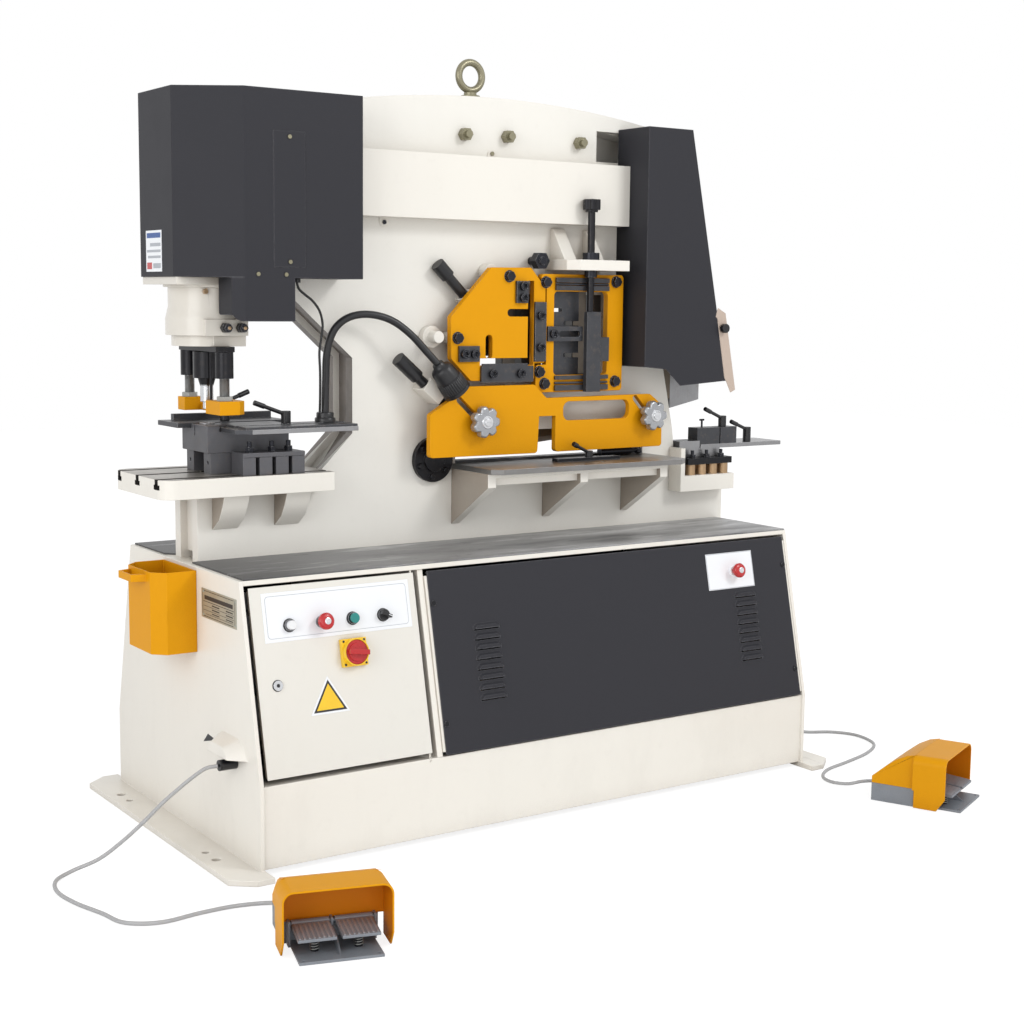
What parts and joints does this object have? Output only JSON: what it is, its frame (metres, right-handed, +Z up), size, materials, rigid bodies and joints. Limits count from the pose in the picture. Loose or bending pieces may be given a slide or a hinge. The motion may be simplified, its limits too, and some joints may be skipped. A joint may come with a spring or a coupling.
{
  "type": "hydraulic ironworker",
  "caption": "Hydraulic ironworker with punch, angle, bar, flat and notching stations on a sloped base cabinet, with a gooseneck lamp and corded foot switches.",
  "frame": {"origin": "centre of the rectangle of four anchor holes, on the floor", "axes": "+X along the machine from the punch to the notcher, +Y from the operator to the back, +Z up"},
  "size_m": [2.4999, 1.4623, 1.9468],
  "materials": {
    "cream_paint": "satin off-white paint",
    "dark_paint": "satin charcoal paint",
    "yellow_paint": "satin orange-yellow paint",
    "black_rubber": "ribbed mat rubber",
    "black_plastic": "matt black plastic",
    "red_plastic": "gloss red plastic",
    "green_plastic": "gloss green plastic",
    "grey_steel": "ground steel",
    "black_steel": "blackened steel",
    "bright_steel": "bright steel",
    "tool_steel": "dark ground tool steel",
    "beam_steel": "raw plate steel",
    "chrome": "polished",
    "cord_grey": "braided light-grey sheath",
    "cord_black": "black cable sheath",
    "gear_grey": "light grey housings",
    "plate_metal": "blank plate",
    "pedal_grey": "grey cast aluminium"
  },
  "bodies": {
    "machine": {"base_cabinet": "cream_paint", "top_mats": "black_rubber", "service_panels": "dark_paint", "control_gear": "gear_grey", "blank_plates": "plate_metal", "scrap_bin": "yellow_paint", "frame": "cream_paint", "frame_brackets": "cream_paint", "fasteners": "black_steel", "eye_bolt": "chrome", "name_cover": "cream_paint", "pivot_pin": "black_steel", "punch_cover": "dark_paint", "punch_housing": "cream_paint", "stripper_holder": "black_steel", "stripper_yoke": "yellow_paint", "punch_table": "cream_paint", "die_bolster": "tool_steel", "punch_die": "bright_steel", "gauge_plates": "grey_steel", "work_lamp": "black_plastic", "lamp_cable": "cord_black", "cable_glands": "black_plastic", "shear_plates": "yellow_paint", "fixed_blades": "tool_steel", "flat_guard": "yellow_paint", "shear_table": "grey_steel", "notcher_cover": "dark_paint", "notcher_table": "cream_paint", "notch_die": "tool_steel", "pedal_hoods": "yellow_paint", "pedal_bases": "pedal_grey", "pedal_cord_a": "cord_grey", "pedal_cord_b": "cord_grey"},
    "door": {"cabinet_door": "cream_paint", "door_plates": "cream_paint"},
    "isolator": {"isolator_handle": "red_plastic"},
    "lock": {"door_lock": "chrome"},
    "stop_a": {"stop_button_a": "red_plastic"},
    "start": {"start_button": "green_plastic"},
    "selector": {"mode_selector": "black_plastic"},
    "stop_b": {"stop_button_b": "red_plastic"},
    "beam": {"shear_beam": "beam_steel", "moving_blades": "bright_steel"},
    "ram": {"punch_ram": "bright_steel"},
    "holddown": {"holddown_bar": "tool_steel", "holddown_screw": "black_steel"},
    "angle_clamp": {"angle_screw": "black_plastic"},
    "plate_clamp": {"plate_screw": "black_plastic"},
    "knob_a": {"star_knob_a": "chrome"},
    "knob_b": {"star_knob_b": "chrome"},
    "lever_a": {"gauge_lever_a": "black_plastic"},
    "lever_b": {"gauge_lever_b": "black_plastic"},
    "fence_clamp": {"fence_lever": "black_plastic"},
    "notch_clamp_a": {"notch_lever_a": "black_plastic"},
    "notch_clamp_b": {"notch_lever_b": "black_plastic"},
    "tread_a1": {"tread_a1": "pedal_grey"},
    "tread_a2": {"tread_a2": "pedal_grey"},
    "tread_b1": {"tread_b1": "pedal_grey"},
    "tread_b2": {"tread_b2": "pedal_grey"}
  },
  "joints": [
    {"name": "door_hinge", "type": "hinge", "parent": "machine", "child": "door", "pos_m": [-0.394, -0.37604, 0.43172], "axis": [0, 0.2181, 0.9759], "range_deg": [0, 100]},
    {"name": "isolator_turn", "type": "hinge", "parent": "door", "child": "isolator", "pos_m": [-0.577, -0.37273, 0.48324], "axis": [0, -0.9759, 0.2181], "range_deg": [-90, 0]},
    {"name": "lock_turn", "type": "hinge", "parent": "door", "child": "lock", "pos_m": [-0.779, -0.38472, 0.42956], "axis": [0, -0.9759, 0.2181], "range_deg": [0, 90]},
    {"name": "stop_a_press", "type": "slide", "parent": "door", "child": "stop_a", "axis": [0, 0.9759, -0.2181], "range_m": [0, 0.004], "stiffness_N_per_m": 300, "springref_m": -0.004},
    {"name": "start_press", "type": "slide", "parent": "door", "child": "start", "axis": [0, 0.9759, -0.2181], "range_m": [0, 0.0035], "stiffness_N_per_m": 300, "springref_m": -0.004},
    {"name": "selector_turn", "type": "hinge", "parent": "door", "child": "selector", "pos_m": [-0.485, -0.35528, 0.56131], "axis": [0, -0.9759, 0.2181], "range_deg": [0, 50]},
    {"name": "stop_b_press", "type": "slide", "parent": "machine", "child": "stop_b", "axis": [0, 0.9759, -0.2181], "range_m": [0, 0.004], "stiffness_N_per_m": 300, "springref_m": -0.004},
    {"name": "beam_pivot", "type": "hinge", "parent": "machine", "child": "beam", "pos_m": [-0.156, 0.034, 0.893], "axis": [0, 1, 0], "range_deg": [0, 7.2]},
    {"name": "ram_stroke", "type": "slide", "parent": "machine", "child": "ram", "axis": [0, 0, -1], "range_m": [0, 0.05]},
    {"name": "holddown_travel", "type": "slide", "parent": "machine", "child": "holddown", "axis": [0, 0, 1], "range_m": [-0.01, 0.08]},
    {"name": "angle_clamp_travel", "type": "slide", "parent": "machine", "child": "angle_clamp", "axis": [0.7193, 0, -0.6947], "range_m": [-0.03, 0.008]},
    {"name": "plate_clamp_travel", "type": "slide", "parent": "machine", "child": "plate_clamp", "axis": [0.766, 0, -0.6428], "range_m": [-0.03, 0]},
    {"name": "knob_a_turn", "type": "hinge", "parent": "machine", "child": "knob_a", "pos_m": [-0.057, -0.13, 0.996], "axis": [0, -1, 0], "continuous": true},
    {"name": "knob_b_turn", "type": "hinge", "parent": "machine", "child": "knob_b", "pos_m": [0.51, -0.13, 0.996], "axis": [0, -1, 0], "continuous": true},
    {"name": "lever_a_turn", "type": "hinge", "parent": "machine", "child": "lever_a", "pos_m": [-0.589, -0.052, 1.01], "axis": [0, 0, 1], "range_deg": [-50, 60]},
    {"name": "lever_b_turn", "type": "hinge", "parent": "machine", "child": "lever_b", "pos_m": [-0.69, 0.086, 1.01], "axis": [0, 0, 1], "range_deg": [-60, 60]},
    {"name": "fence_lever_turn", "type": "hinge", "parent": "machine", "child": "fence_clamp", "pos_m": [0.288, -0.139, 0.889], "axis": [0, 0, 1], "range_deg": [-5, 70]},
    {"name": "notch_lever_a_turn", "type": "hinge", "parent": "machine", "child": "notch_clamp_a", "pos_m": [0.862, -0.036, 0.946], "axis": [0, 0, 1], "range_deg": [0, 60]},
    {"name": "notch_lever_b_turn", "type": "hinge", "parent": "machine", "child": "notch_clamp_b", "pos_m": [0.962, -0.036, 0.897], "axis": [0, 0, 1], "range_deg": [0, 60]},
    {"name": "tread_a1_press", "type": "hinge", "parent": "machine", "child": "tread_a1", "pos_m": [-0.93435, -0.838, 0.046], "axis": [0.9583, -0.2857, 0], "range_deg": [0, 4], "stiffness_Nm_per_rad": 8, "springref_deg": -5.73},
    {"name": "tread_a2_press", "type": "hinge", "parent": "machine", "child": "tread_a2", "pos_m": [-0.8481, -0.86371, 0.046], "axis": [0.9583, -0.2857, 0], "range_deg": [0, 4], "stiffness_Nm_per_rad": 8, "springref_deg": -5.73},
    {"name": "tread_b1_press", "type": "hinge", "parent": "machine", "child": "tread_b1", "pos_m": [0.88366, -0.85875, 0.046], "axis": [0.9135, 0.4067, 0], "range_deg": [0, 4], "stiffness_Nm_per_rad": 8, "springref_deg": -5.73},
    {"name": "tread_b2_press", "type": "hinge", "parent": "machine", "child": "tread_b2", "pos_m": [0.96588, -0.82215, 0.046], "axis": [0.9135, 0.4067, 0], "range_deg": [0, 4], "stiffness_Nm_per_rad": 8, "springref_deg": -5.73}
  ]
}
